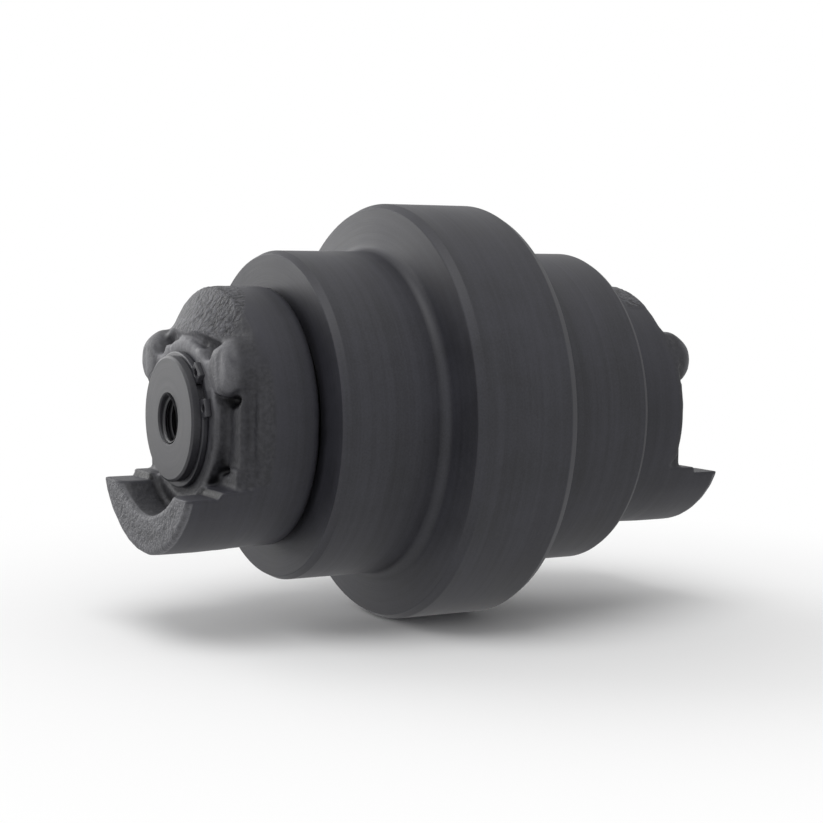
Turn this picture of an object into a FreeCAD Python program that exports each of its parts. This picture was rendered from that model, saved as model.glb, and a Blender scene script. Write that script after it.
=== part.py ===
import FreeCAD, Part
import math
import os

# Track bottom roller, in millimetres, +Z up. The roller turns about the Y axis; the middle of
# its flange is the origin. Each end is described by its distance out from that middle, so one
# profile serves both ends. The near end is on the -Y side and the ledges are at the bottom.

V = FreeCAD.Vector
Y_AXIS = V(0, 1, 0)
ROOT = 1.0                  # how far a raised shape reaches into what carries it

# Fits
RUNNING_FIT = 0.04          # radial, shaft in bush
SLIDING_FIT = 0.03          # radial, collar on shaft
AXIAL_FLOAT = 0.3           # bush flange to collar hub
FLANGE_PLAY = 0.4           # bush flange in its counterbore
SEAL_GAP = 0.15             # each lapped face to the plane where the pair meets
RUBBER_EASE = 0.08          # rubber rings drawn just clear of their seats
RING_EASE = 0.02            # retaining ring on the floor of its groove
RING_PLAY = 0.05            # retaining ring to the collar and to the groove's wall

# Roller shell
TREAD_R = 48.2
TREAD_FILLET = 3.2
FLANGE_HEIGHT = 14.3
FLANGE_LAND = 13.9          # half width of the flange's outer land
FLANGE_CORNER_LONG = 2.45
FLANGE_CORNER_DEEP = 1.3
FLANGE_SLOPE = 2.15         # lean of the flange's side, from its corner to its foot
SHELL_END = 50.85
SHELL_CHAMFER_LONG = 2.1
SHELL_CHAMFER_DEEP = 1.05
OIL_CHAMBER_HALF = 20.0
OIL_CHAMBER_DEEP = 3.0
CHAMBER_TAPER = 1.5

# Bushes
SHAFT_R = 18.0
BUSH_WALL = 2.46
BUSH_LENGTH = 24.0
BUSH_FLANGE_WIDE = 4.1
BUSH_FLANGE_THICK = 2.6
BUSH_SINK = 1.1             # counterbore below the floor of the seal's housing
BUSH_CHAMFER = 0.5

# Seal set
RIM_GAP = 2.35              # between the shell's end and the collar's rim
SEAL_CLEAR = 0.6            # seal ring around the bush flange
SEAL_WALL = 1.8
SEAL_FLANGE_THICK = 2.2
SEAL_FLANGE_CLEAR = 1.75    # seal flange inside its housing
HUB_CLEAR = 1.6             # seal ring around the collar's hub
TORIC_R = 2.83
TORIC_SPACE = 0.07          # toric to the seal's flange, and to the seal's back
HOUSING_SLOPE = 12.4        # degrees
HOUSING_CLEAR = 0.9         # behind the seal ring

# Shaft
SHAFT_STUB = 2.7            # shaft beyond the retaining ring
SHAFT_CHAMFER_LONG = 0.5
SHAFT_CHAMFER_DEEP = 0.9
THREAD_R = 7.0              # M14 hole, ridges left to the visual model
THREAD_DEPTH = 32.0
THREAD_CHAMFER = 0.6
DRILL_POINT = 3.0
OIL_WAY_R = 2.0
PLUG_R = 3.2
PLUG_LENGTH = 5.0
PLUG_HEX_R = 1.7
PLUG_HEX_DEPTH = 3.0
SHAFT_SEAL_INSET = 9.1      # groove of the shaft's rubber ring, inside the collar's rim
SHAFT_SEAL_GROOVE = 3.4
SHAFT_SEAL_DEPTH = 2.4

# Retaining rings
RING_THICK = 1.75
RING_GROOVE_DEEP = 1.0
RING_PROUD = 2.0            # rim of the ring outside the shaft
RING_OFFSET = 0.9           # makes the ring wide opposite its gap
RING_GAP_ANGLE = 30.0
RING_GAP_HALF = 2.8
RING_LUG_SPREAD = 17.3
RING_LUG_HALF = 2.9
RING_LUG_PROUD = 3.6
RING_LUG_ROUND = 0.8
RING_HOLE_R = 1.15
RING_HOLE_PROUD = 1.6

# Collar body
COLLAR_WALL = 4.1           # around the mouth of the seal's housing
COLLAR_RIM_CHAMFER = 0.4
BELL_LENGTH = 17.4
COLLAR_ROUND = 1.3
BOSS_WALL = 6.27
BOSS_RISE = 7.6
BOSS_ROUND = 1.8

# Collar crown
CROWN_INSET = 2.1           # start of the bell's slope above the pad, short of its face
CROWN_RELIEF = 1.8          # how deep that slope cuts
CROWN_STEP = 0.3            # crown below the end of that slope
CROWN_BROW_DROP = 1.1       # brow below the boss's face
CROWN_BROW_WALL = 2.8       # brow outside the boss
CROWN_LIP_DROP = 0.3
CROWN_LIP_WALL = 0.4
CROWN_FOOT_Z = 10.0
RIB_HALF = 2.2
ARCH_X = 11.0
ARCH_END_X = 22.0
ARCH_LIFT = 0.4             # ends of the arch above the pad
ARCH_RISE = 2.0

# Collar pad, knobs and the webs between boss and knobs
PAD_RISE = 3.7
PAD_SIDE_INSET = 6.2        # sides of the pad inside the bell's cylinder
PAD_TOP_INSET = 14.2        # its top edge below the bell's top
PAD_FOOT_LIFT = 5.05        # its lower edge above the ledge
PAD_INSET = 0.8             # its round corners inside the bell's cylinder
PAD_ROUND = 0.9
POCKET_LONG = 8.5           # in from the pad's side
POCKET_FOOT = 3.2
POCKET_HEIGHT = 6.2
POCKET_SHELF = 0.8
KNOB_R = 7.1
KNOB_ANGLE = 30.6           # above the X axis
KNOB_INSET = 0.15           # knob inside the bell's cylinder
KNOB_DRAFT = 1.0
KNOB_PROUD = 0.3
KNOB_ROUND = 2.8
WEB_DROP = 1.2              # web below the boss's face
WEB_SINK = 0.2              # ends of the web inside the boss and the knob
WEB_FOOT_ANGLE = 22.3
DIP_BOSS_ANGLE = 57.2       # where the dip leaves the boss
DIP_KNOB_ANGLE = 131.0      # where it meets the knob
DIP_ANGLE = 46.15           # lowest point of the dip
DIP_LIFT = 0.52             # that point outside the boss

# Collar ledge
LEDGE_REACH = 7.2           # beyond the shaft's end
LEDGE_Z = -17.75
LEDGE_STEP = 2.2            # step in its top, out from the boss's face
LEDGE_STEP_DROP = 1.85
LEDGE_STEP_SLOPE = 1.2
LEDGE_ROUND = 1.6
CHANNEL_CLEAR = 3.0         # channel outside the boss
CHANNEL_INSET = 0.8
CHANNEL_LIP = 1.2

# Radii and places that follow from the sizes above
BUSH_BORE_R = SHAFT_R + RUNNING_FIT
BUSH_OUT_R = BUSH_BORE_R + BUSH_WALL
BUSH_FLANGE_R = BUSH_OUT_R + BUSH_FLANGE_WIDE
SEAL_BORE_R = BUSH_FLANGE_R + SEAL_CLEAR
SEAL_NECK_R = SEAL_BORE_R + SEAL_WALL
TORIC_CENTRE_R = SEAL_NECK_R + TORIC_R
TORIC_SETBACK = SEAL_FLANGE_THICK + TORIC_SPACE + TORIC_R
SEAL_HEIGHT = TORIC_SETBACK + TORIC_R + TORIC_SPACE
HOUSING_DEPTH = SEAL_HEIGHT + HOUSING_CLEAR
COLLAR_RIM = SHELL_END + RIM_GAP
SEAL_PLANE = (SHELL_END + COLLAR_RIM) / 2
BUSH_SEAT = SEAL_PLANE - HOUSING_DEPTH - BUSH_SINK
BUSH_END = BUSH_SEAT + BUSH_FLANGE_THICK
COLLAR_BORE_R = SHAFT_R + SLIDING_FIT
COLLAR_FACE = COLLAR_RIM + BELL_LENGTH
PAD_FACE = COLLAR_FACE + PAD_RISE
BOSS_R = COLLAR_BORE_R + BOSS_WALL
BOSS_FACE = COLLAR_FACE + BOSS_RISE
RING_START = BOSS_FACE + RING_PLAY
RING_FACE = RING_START + RING_THICK
SHAFT_END = RING_FACE + SHAFT_STUB
THREAD_END = SHAFT_END - THREAD_DEPTH
LEDGE_END = SHAFT_END + LEDGE_REACH


os.makedirs("parts", exist_ok=True)


def save(name, shape):
    """Write one node's solid as its own file."""
    if len(shape.Solids) != 1 or not shape.isValid():
        raise ValueError(name + " is not one valid solid")
    shape.Solids[0].exportStep("parts/" + name + ".step")


def turned(points):
    """The solid turned about the Y axis from a closed profile of (out, radius) points."""
    corners = [V(radius, out, 0) for out, radius in points]
    face = Part.Face(Part.makePolygon(corners + corners[:1]))
    return face.revolve(V(0, 0, 0), Y_AXIS, 360)


def polar(radius, degrees, x=0.0, z=0.0):
    """The point at a radius and an angle from a centre."""
    angle = math.radians(degrees)
    return x + radius * math.cos(angle), z + radius * math.sin(angle)


def arc_points(centre, radius, start, end, steps=6):
    """Points of an arc in the (out, radius) profile plane, angles in degrees."""
    angles = [start + (end - start) * i / steps for i in range(steps + 1)]
    return [polar(radius, angle, *centre) for angle in angles]


def rod(radius, start, end, x=0.0, z=0.0):
    """A cylinder along Y from start to end."""
    return Part.makeCylinder(radius, end - start, V(x, start, z), Y_AXIS)


def block(x0, x1, y0, y1, z0, z1):
    """A box between two corners, its X values in either order."""
    return Part.makeBox(abs(x1 - x0), y1 - y0, z1 - z0, V(min(x0, x1), y0, z0))


def front_edges(shape, out):
    """The edges of a shape that lie wholly in its face at one distance out."""
    return [edge for edge in shape.Edges
            if all(abs(vertex.Y - out) < 0.01 for vertex in edge.Vertexes)]


def arched_face(out, arc, corners):
    """A face across Y, bounded by an arc through three (x, z) points and then by corners."""
    start, middle, end = [V(x, out, z) for x, z in arc]
    loop = [end] + [V(x, out, z) for x, z in corners] + [start]
    curve = Part.Arc(start, middle, end).toShape()
    return Part.Face(Part.Wire([curve] + Part.makePolygon(loop).Edges))


def housing_r(setback):
    """Radius of a seal housing's sloped wall, at a distance back from the seal plane."""
    slope = math.radians(HOUSING_SLOPE)
    at_toric = TORIC_CENTRE_R + TORIC_R / math.cos(slope)
    return at_toric + (TORIC_SETBACK - setback) * math.tan(slope)


COLLAR_R = housing_r(RIM_GAP / 2) + COLLAR_WALL
PAD_HALF = COLLAR_R - PAD_SIDE_INSET
PAD_TOP = COLLAR_R - PAD_TOP_INSET
KNOB_X, KNOB_Z = polar(COLLAR_R - KNOB_INSET - KNOB_R, KNOB_ANGLE)


def make_shell():
    """The roller's one-piece forging: flange, two treads, bores and seal housings."""
    flange_r = TREAD_R + FLANGE_HEIGHT
    corner = FLANGE_LAND + FLANGE_CORNER_LONG
    foot = corner + FLANGE_SLOPE
    floor = SEAL_PLANE - HOUSING_DEPTH
    seat_r = BUSH_FLANGE_R + FLANGE_PLAY
    chamber_r = BUSH_OUT_R + OIL_CHAMBER_DEEP
    half = [(0, flange_r), (FLANGE_LAND, flange_r)]
    half += [(corner - 0.4 * FLANGE_CORNER_LONG, flange_r - 0.35 * FLANGE_CORNER_DEEP)]
    half += [(corner, flange_r - FLANGE_CORNER_DEEP)]
    half += arc_points((foot + TREAD_FILLET, TREAD_R + TREAD_FILLET), TREAD_FILLET, 180, 270)
    half += [(SHELL_END - SHELL_CHAMFER_LONG, TREAD_R), (SHELL_END, TREAD_R - SHELL_CHAMFER_DEEP)]
    half += [(SHELL_END, housing_r(RIM_GAP / 2)), (floor, housing_r(HOUSING_DEPTH))]
    half += [(floor, seat_r), (BUSH_SEAT, seat_r), (BUSH_SEAT, BUSH_OUT_R)]
    half += [(OIL_CHAMBER_HALF, BUSH_OUT_R), (OIL_CHAMBER_HALF - CHAMBER_TAPER, chamber_r)]
    half += [(0, chamber_r)]
    other = [(-out, radius) for out, radius in half[::-1] if out > 0]
    return turned(half + other)


def make_bush():
    """A flanged bronze bush, pressed into the shell."""
    start = BUSH_END - BUSH_LENGTH
    return turned([
        (start, BUSH_BORE_R),
        (BUSH_END, BUSH_BORE_R),
        (BUSH_END, BUSH_FLANGE_R),
        (BUSH_SEAT, BUSH_FLANGE_R),
        (BUSH_SEAT, BUSH_OUT_R),
        (start + BUSH_CHAMFER, BUSH_OUT_R),
        (start, BUSH_OUT_R - BUSH_CHAMFER),
    ])


def make_seal_ring(side):
    """A metal face-seal ring; side is -1 for the turning half and +1 for the standing half."""
    face_r = housing_r(SEAL_FLANGE_THICK) - SEAL_FLANGE_CLEAR
    section = [(SEAL_GAP, SEAL_BORE_R), (SEAL_GAP, face_r), (SEAL_FLANGE_THICK, face_r)]
    section += [(SEAL_FLANGE_THICK, SEAL_NECK_R), (SEAL_HEIGHT, SEAL_NECK_R)]
    section += [(SEAL_HEIGHT, SEAL_BORE_R)]
    return turned([(SEAL_PLANE + side * setback, radius) for setback, radius in section])


def make_toric(side):
    """A rubber toric between a seal ring and its housing."""
    centre = V(0, SEAL_PLANE + side * TORIC_SETBACK, 0)
    return Part.makeTorus(TORIC_CENTRE_R, TORIC_R - RUBBER_EASE, centre, Y_AXIS)


def make_shaft():
    """The through shaft: ring grooves, threaded ends and the oil way."""
    seal_start = COLLAR_RIM + SHAFT_SEAL_INSET
    seal_end = seal_start + SHAFT_SEAL_GROOVE
    seal_r = SHAFT_R - SHAFT_SEAL_DEPTH
    groove_r = SHAFT_R - RING_GROOVE_DEEP
    groove_end = RING_FACE + RING_PLAY
    drill_end = THREAD_END - DRILL_POINT
    half = [(seal_start, SHAFT_R), (seal_start, seal_r), (seal_end, seal_r), (seal_end, SHAFT_R)]
    half += [(BOSS_FACE, SHAFT_R), (BOSS_FACE, groove_r)]
    half += [(groove_end, groove_r), (groove_end, SHAFT_R)]
    half += [(SHAFT_END - SHAFT_CHAMFER_LONG, SHAFT_R), (SHAFT_END, SHAFT_R - SHAFT_CHAMFER_DEEP)]
    half += [(SHAFT_END, THREAD_R + THREAD_CHAMFER), (SHAFT_END - THREAD_CHAMFER, THREAD_R)]
    half += [(THREAD_END, THREAD_R), (drill_end, 0)]
    shaft = turned([(-out, radius) for out, radius in half[::-1]] + half)
    way = rod(OIL_WAY_R, -OIL_WAY_R, THREAD_END)
    cross = Part.makeCylinder(OIL_WAY_R, SHAFT_R + ROOT)
    seat = rod(PLUG_R, drill_end - PLUG_LENGTH, THREAD_END)
    return shaft.cut(way).cut(cross).cut(seat)


def make_plug():
    """The oil filler's socket plug, at the bottom of the far threaded hole."""
    end = THREAD_END - DRILL_POINT
    body = rod(PLUG_R, end - PLUG_LENGTH, end)
    corners = [polar(PLUG_HEX_R, 60 * i) for i in range(6)]
    corners = [V(x, end - PLUG_HEX_DEPTH, z) for x, z in corners]
    hexagon = Part.Face(Part.makePolygon(corners + corners[:1]))
    return body.cut(hexagon.extrude(V(0, PLUG_HEX_DEPTH + ROOT, 0)))


def make_shaft_seal():
    """The rubber ring between shaft and collar."""
    room = SHAFT_SEAL_DEPTH + SLIDING_FIT
    middle = V(0, COLLAR_RIM + SHAFT_SEAL_INSET + SHAFT_SEAL_GROOVE / 2, 0)
    return Part.makeTorus(COLLAR_BORE_R - room / 2, room / 2 - RUBBER_EASE, middle, Y_AXIS)


def make_retaining_ring():
    """The spring ring that holds a collar on the shaft, with its two pierced lugs."""
    inner_r = SHAFT_R - RING_GROOVE_DEEP + RING_EASE
    lug_r = SHAFT_R + RING_LUG_PROUD
    below = RING_START - ROOT
    above = RING_FACE + ROOT
    body = rod(SHAFT_R + RING_PROUD, RING_START, RING_FACE, *polar(-RING_OFFSET, RING_GAP_ANGLE))
    bore = rod(inner_r, below, above)
    for side in (-1, 1):
        lug = block(inner_r - ROOT, lug_r, RING_START, RING_FACE, -RING_LUG_HALF, RING_LUG_HALF)
        corners = [edge for edge in lug.Edges
                   if all(abs(vertex.X - lug_r) < 0.01 for vertex in edge.Vertexes)
                   and abs(edge.Vertexes[0].Y - edge.Vertexes[1].Y) > 0.01]
        lug = lug.makeFillet(RING_LUG_ROUND, corners)
        hole = rod(RING_HOLE_R, below, above, SHAFT_R + RING_HOLE_PROUD)
        for piece in (lug, hole):
            piece.rotate(V(0, 0, 0), Y_AXIS, -(RING_GAP_ANGLE + side * RING_LUG_SPREAD))
        body = body.fuse(lug)
        bore = bore.fuse(hole)
    slot = block(0, lug_r + ROOT, below, above, -RING_GAP_HALF, RING_GAP_HALF)
    slot.rotate(V(0, 0, 0), Y_AXIS, -RING_GAP_ANGLE)
    return body.cut(bore).cut(slot).removeSplitter()


def crown_relief():
    """What the bell loses above the pad, so that the crown slopes back from its cylinder."""
    lean = CROWN_RELIEF / CROWN_INSET
    start = COLLAR_FACE - CROWN_INSET - ROOT
    end = COLLAR_FACE + ROOT
    start_r = COLLAR_R + lean * ROOT
    end_r = COLLAR_R - CROWN_RELIEF - lean * ROOT
    outside = start_r + ROOT
    relief = turned([(start, start_r), (end, end_r), (end, outside), (start, outside)])
    return relief.common(block(-outside, outside, start, end, PAD_TOP, outside))


def make_crown():
    """The rounded brow above the shaft, cut back to an arch at each side of its middle rib."""
    root = COLLAR_FACE - ROOT
    foot_r = COLLAR_R - CROWN_RELIEF - CROWN_STEP
    lip = BOSS_FACE - CROWN_LIP_DROP
    inner_r = BOSS_R - BOSS_ROUND
    crown = turned([
        (root, foot_r),
        (COLLAR_FACE, foot_r),
        (BOSS_FACE - CROWN_BROW_DROP, BOSS_R + CROWN_BROW_WALL),
        (lip, BOSS_R + CROWN_LIP_WALL),
        (lip, inner_r),
        (root, inner_r),
    ])
    crown = crown.common(block(-COLLAR_R, COLLAR_R, root, BOSS_FACE, CROWN_FOOT_Z, COLLAR_R))
    ends_z = PAD_TOP + ARCH_LIFT
    for side in (-1, 1):
        arc = [(side * RIB_HALF, ends_z), (side * ARCH_X, ends_z + ARCH_RISE),
               (side * ARCH_END_X, ends_z)]
        corners = [(side * COLLAR_R, PAD_TOP), (side * COLLAR_R, 0), (side * RIB_HALF, 0)]
        crown = crown.cut(arched_face(PAD_FACE, arc, corners).extrude(V(0, BOSS_RISE, 0)))
    return crown


def make_web(side):
    """The web from the boss to one knob, with the dip in its top."""
    root = COLLAR_FACE - ROOT
    boss_x, boss_z = polar(BOSS_R - WEB_SINK, DIP_BOSS_ANGLE)
    knob_x, knob_z = polar(KNOB_R - WEB_SINK, DIP_KNOB_ANGLE, KNOB_X, KNOB_Z)
    foot_x, foot_z = polar(BOSS_R - BOSS_ROUND, WEB_FOOT_ANGLE)
    inner_x, inner_z = polar(COLLAR_BORE_R, DIP_BOSS_ANGLE)
    dip_x, dip_z = polar(BOSS_R + DIP_LIFT, DIP_ANGLE)
    arc = [(side * boss_x, boss_z), (side * dip_x, dip_z), (side * knob_x, knob_z)]
    corners = [(side * KNOB_X, KNOB_Z), (side * KNOB_X, foot_z)]
    corners += [(side * foot_x, foot_z), (side * inner_x, inner_z)]
    return arched_face(root, arc, corners).extrude(V(0, BOSS_FACE - WEB_DROP - root, 0))


def make_pad():
    """The raised plate around the boss, pocketed below each knob, with the webs to the knobs."""
    root = COLLAR_FACE - ROOT
    foot = LEDGE_Z + PAD_FOOT_LIFT
    plate = block(-PAD_HALF, PAD_HALF, root, PAD_FACE, foot, PAD_TOP)
    plate = plate.common(rod(COLLAR_R - PAD_INSET, root - ROOT, PAD_FACE + ROOT))
    plate = plate.makeFillet(PAD_ROUND, front_edges(plate, PAD_FACE))
    for side in (-1, 1):
        pocket = block(side * (PAD_HALF - POCKET_LONG), side * COLLAR_R, COLLAR_FACE + POCKET_SHELF,
                       PAD_FACE + ROOT, POCKET_FOOT, POCKET_FOOT + POCKET_HEIGHT)
        plate = plate.cut(pocket).fuse(make_web(side))
    return plate


def make_knob(side):
    """One drafted knob with a rounded head."""
    root = COLLAR_FACE - ROOT
    face = BOSS_FACE + KNOB_PROUD
    base = V(side * KNOB_X, root, KNOB_Z)
    knob = Part.makeCone(KNOB_R + KNOB_DRAFT, KNOB_R, face - root, base, Y_AXIS)
    return knob.makeFillet(KNOB_ROUND, front_edges(knob, face))


def make_ledge():
    """The stepped, channelled ledge under the shaft end."""
    inner = COLLAR_FACE - COLLAR_ROUND - ROOT
    inner_r = BOSS_R - BOSS_ROUND
    channel_r = BOSS_R + CHANNEL_CLEAR
    channel_start = BOSS_FACE + CHANNEL_INSET
    turn = turned([
        (inner, inner_r),
        (inner, COLLAR_R),
        (LEDGE_END - LEDGE_ROUND, COLLAR_R),
        (LEDGE_END - 0.5 * LEDGE_ROUND, COLLAR_R - 0.15 * LEDGE_ROUND),
        (LEDGE_END, COLLAR_R - LEDGE_ROUND),
        (LEDGE_END, channel_r + CHANNEL_LIP),
        (LEDGE_END - CHANNEL_LIP, channel_r),
        (channel_start, channel_r),
        (channel_start, inner_r),
    ])
    step = BOSS_FACE + LEDGE_STEP
    outer_z = LEDGE_Z - LEDGE_STEP_DROP
    bottom = -COLLAR_R - ROOT
    side = [
        (inner, LEDGE_Z),
        (step - LEDGE_STEP_SLOPE / 2, LEDGE_Z),
        (step + LEDGE_STEP_SLOPE / 2, outer_z),
        (LEDGE_END + ROOT, outer_z),
        (LEDGE_END + ROOT, bottom),
        (inner, bottom),
    ]
    corners = [V(-COLLAR_R, out, z) for out, z in side]
    below = Part.Face(Part.makePolygon(corners + corners[:1])).extrude(V(2 * COLLAR_R, 0, 0))
    return turn.common(below)


def make_collar():
    """One end collar: bell, hub, boss, crown, pad, knobs and ledge in one casting."""
    hub_end = BUSH_END + AXIAL_FLOAT
    hub_r = SEAL_BORE_R - HUB_CLEAR
    floor = SEAL_PLANE + HOUSING_DEPTH
    shoulder = (COLLAR_FACE - COLLAR_ROUND, COLLAR_R - COLLAR_ROUND)
    brim = (BOSS_FACE - BOSS_ROUND, BOSS_R - BOSS_ROUND)
    profile = [(hub_end, COLLAR_BORE_R), (hub_end, hub_r), (floor, hub_r)]
    profile += [(floor, housing_r(HOUSING_DEPTH)), (COLLAR_RIM, housing_r(RIM_GAP / 2))]
    profile += [(COLLAR_RIM, COLLAR_R - COLLAR_RIM_CHAMFER)]
    profile += [(COLLAR_RIM + COLLAR_RIM_CHAMFER, COLLAR_R)]
    profile += arc_points(shoulder, COLLAR_ROUND, 90, 0)
    profile += [(COLLAR_FACE, BOSS_R)]
    profile += arc_points(brim, BOSS_ROUND, 90, 0)
    profile += [(BOSS_FACE, COLLAR_BORE_R)]
    body = turned(profile).cut(crown_relief())
    for piece in (make_crown(), make_pad(), make_ledge(), make_knob(-1), make_knob(1)):
        body = body.fuse(piece)
    return body.cut(rod(COLLAR_BORE_R, hub_end - ROOT, LEDGE_END + ROOT)).removeSplitter()


save("roller_shell", make_shell())
save("shaft", make_shaft())
save("oil_plug", make_plug())

far_pieces = {
    "bush": make_bush(),
    "turning_seal_ring": make_seal_ring(-1),
    "turning_seal_rubber": make_toric(-1),
    "standing_seal_ring": make_seal_ring(1),
    "standing_seal_rubber": make_toric(1),
    "shaft_rubber_ring": make_shaft_seal(),
    "retaining_ring": make_retaining_ring(),
    "collar": make_collar(),
}
for name, solid in far_pieces.items():
    save("far_" + name, solid)
    save("near_" + name, solid.mirror(V(0, 0, 0), Y_AXIS))
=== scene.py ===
"""Looks of the track bottom roller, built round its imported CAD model."""

import logging
import math
from dataclasses import dataclass
from enum import Enum
from functools import cached_property

import bpy
import numpy as np
from mathutils import Matrix, Vector

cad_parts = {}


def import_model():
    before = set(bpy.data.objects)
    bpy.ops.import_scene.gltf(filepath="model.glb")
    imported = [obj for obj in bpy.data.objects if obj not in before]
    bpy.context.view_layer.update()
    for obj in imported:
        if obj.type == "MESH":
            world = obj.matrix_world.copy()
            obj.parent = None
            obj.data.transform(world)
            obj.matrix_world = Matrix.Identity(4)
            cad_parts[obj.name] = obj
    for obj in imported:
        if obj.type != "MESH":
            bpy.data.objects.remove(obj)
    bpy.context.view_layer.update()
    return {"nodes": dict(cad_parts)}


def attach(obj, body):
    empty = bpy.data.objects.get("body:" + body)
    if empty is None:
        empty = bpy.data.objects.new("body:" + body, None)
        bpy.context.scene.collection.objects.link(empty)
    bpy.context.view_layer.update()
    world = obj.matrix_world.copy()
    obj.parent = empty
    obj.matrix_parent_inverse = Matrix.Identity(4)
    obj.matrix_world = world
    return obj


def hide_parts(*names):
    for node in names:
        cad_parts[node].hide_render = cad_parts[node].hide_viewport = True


MM = 0.001
Profile = list[tuple[float, float]]
Corners = tuple[tuple[float, float], ...]
Span = tuple[float, float]
Colour = tuple[float, float, float]
log = logging.getLogger("roller")


class End(Enum):
    """The two ends of the roller, by the sign of their side along Y."""

    NEAR = -1
    FAR = 1

    @property
    def label(self) -> str:
        """The word that starts the names of this end's pieces."""
        return self.name.lower()


class Shader:
    """The node tree of a material or the world, and the only place that adds nodes to it."""

    def __init__(self, owner: bpy.types.Material | bpy.types.World) -> None:
        """Start an empty tree.

        Args:
            owner: the material or world that the tree belongs to.
        """
        self.owner = owner
        owner.use_nodes = True
        self.tree = owner.node_tree
        self.tree.nodes.clear()

    @classmethod
    def material(cls, name: str) -> "Shader":
        """The empty tree of a new material."""
        return cls(bpy.data.materials.new(name))

    def add(self, kind: str, settings: dict | None = None, sockets: dict | None = None) -> bpy.types.Node:
        """Add a node.

        Args:
            kind: the node's type, without its ShaderNode prefix.
            settings: properties to set before any socket.
            sockets: values or wires for its inputs, by name or number.

        Returns:
            The new node.
        """
        node = self.tree.nodes.new("ShaderNode" + kind)
        for key, value in (settings or {}).items():
            setattr(node, key, value)
        for key, value in (sockets or {}).items():
            if isinstance(value, Wire):
                self.tree.links.new(value.socket, node.inputs[key])
            else:
                node.inputs[key].default_value = value
        return node

    def wire(self, node: bpy.types.Node, output: int | str = 0) -> "Wire":
        """One output of a node as a value to reckon with."""
        return Wire(self, node.outputs[output])

    def place(self) -> "Place":
        """Read the point being shaded.

        Returns:
            Its coordinates in metres, in the part's own frame.
        """
        coordinates = self.add("TexCoord")
        parts = self.add("SeparateXYZ", None, {0: self.wire(coordinates, "Object")})
        return Place(self.wire(parts, 0), self.wire(parts, 1), self.wire(parts, 2))

    def vector(self, x: "Wire | float", y: "Wire | float", z: "Wire | float") -> "Wire":
        """A vector made of three values."""
        return self.wire(self.add("CombineXYZ", None, {0: x, 1: y, 2: z}))

    def noise(self, at: "Wire", scale: float, detail: float = 2.0, roughness: float = 0.6) -> "Wire":
        """Smooth noise from 0 to 1.

        Args:
            at: the vector that it is read at.
            scale: waves per metre.
            detail: how many finer layers it has.
            roughness: how strong the finer layers are.

        Returns:
            The noise's value.
        """
        sockets = {"Vector": at, "Scale": scale, "Detail": detail, "Roughness": roughness}
        return self.wire(self.add("TexNoise", {"noise_dimensions": "3D"}, sockets))

    def specks(self, at: "Wire", scale: float) -> "Wire":
        """Distance to the nearest of many scattered points, in their own spacing."""
        sockets = {"Vector": at, "Scale": scale}
        return self.wire(self.add("TexVoronoi", {"feature": "SMOOTH_F1"}, sockets))

    def ramp(self, value: "Wire", low: float, high: float) -> "Wire":
        """Smooth step of a value from 0 at low to 1 at high."""
        sockets = {"Value": value, "From Min": low, "From Max": high}
        return self.wire(self.add("MapRange", {"interpolation_type": "SMOOTHSTEP"}, sockets))

    def mask(self, name: str) -> "Wire":
        """A mask kept on the mesh's points."""
        return self.wire(self.add("Attribute", {"attribute_name": name}), "Fac")

    def tint(self, share: "Wire", first: "Wire | Colour", second: "Wire | Colour") -> "Wire":
        """A colour between two, by a share.

        Args:
            share: 0 for the first colour and 1 for the second.
            first: a colour, as numbers or as a wire.
            second: another.

        Returns:
            The mixed colour.
        """
        ends = [end if isinstance(end, Wire) else (*end, 1.0) for end in (first, second)]
        sockets = {0: share, 6: ends[0], 7: ends[1]}
        return self.wire(self.add("Mix", {"data_type": "RGBA"}, sockets), 2)

    def bump(self, height: "Wire", depth: float, before: "Wire | None" = None) -> "Wire":
        """A normal tilted by a height.

        Args:
            height: the height, as a share of the depth.
            depth: the depth of the relief in millimetres.
            before: a normal that this one adds to.

        Returns:
            The new normal.
        """
        sockets = {"Height": height, "Distance": depth * MM, "Strength": 1.0}
        if before is not None:
            sockets["Normal"] = before
        return self.wire(self.add("Bump", None, sockets))

    def finish(self, sockets: dict) -> bpy.types.Material:
        """Close the tree with one Principled shader.

        Args:
            sockets: values and wires for the shader's inputs.

        Returns:
            The material.
        """
        surface = self.wire(self.add("BsdfPrincipled", None, sockets))
        self.add("OutputMaterial", None, {"Surface": surface})
        return self.owner


@dataclass(frozen=True)
class Wire:
    """One socket of a shader, on which sums are written as plain Python."""

    shader: Shader
    socket: bpy.types.NodeSocket

    def math(self, operation: str, *terms: "Wire | float") -> "Wire":
        """The result of one Math node."""
        node = self.shader.add("Math", {"operation": operation}, dict(enumerate(terms)))
        return self.shader.wire(node)

    def __add__(self, other: "Wire | float") -> "Wire":
        """Self plus other."""
        return self.math("ADD", self, other)

    def __radd__(self, other: float) -> "Wire":
        """Other plus self."""
        return self.math("ADD", other, self)

    def __sub__(self, other: "Wire | float") -> "Wire":
        """Self less other."""
        return self.math("SUBTRACT", self, other)

    def __rsub__(self, other: float) -> "Wire":
        """Other less self."""
        return self.math("SUBTRACT", other, self)

    def __mul__(self, other: "Wire | float") -> "Wire":
        """Self times other."""
        return self.math("MULTIPLY", self, other)

    def __rmul__(self, other: float) -> "Wire":
        """Other times self."""
        return self.math("MULTIPLY", other, self)

    def __pow__(self, other: float) -> "Wire":
        """Self to a power."""
        return self.math("POWER", self, other)


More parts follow.
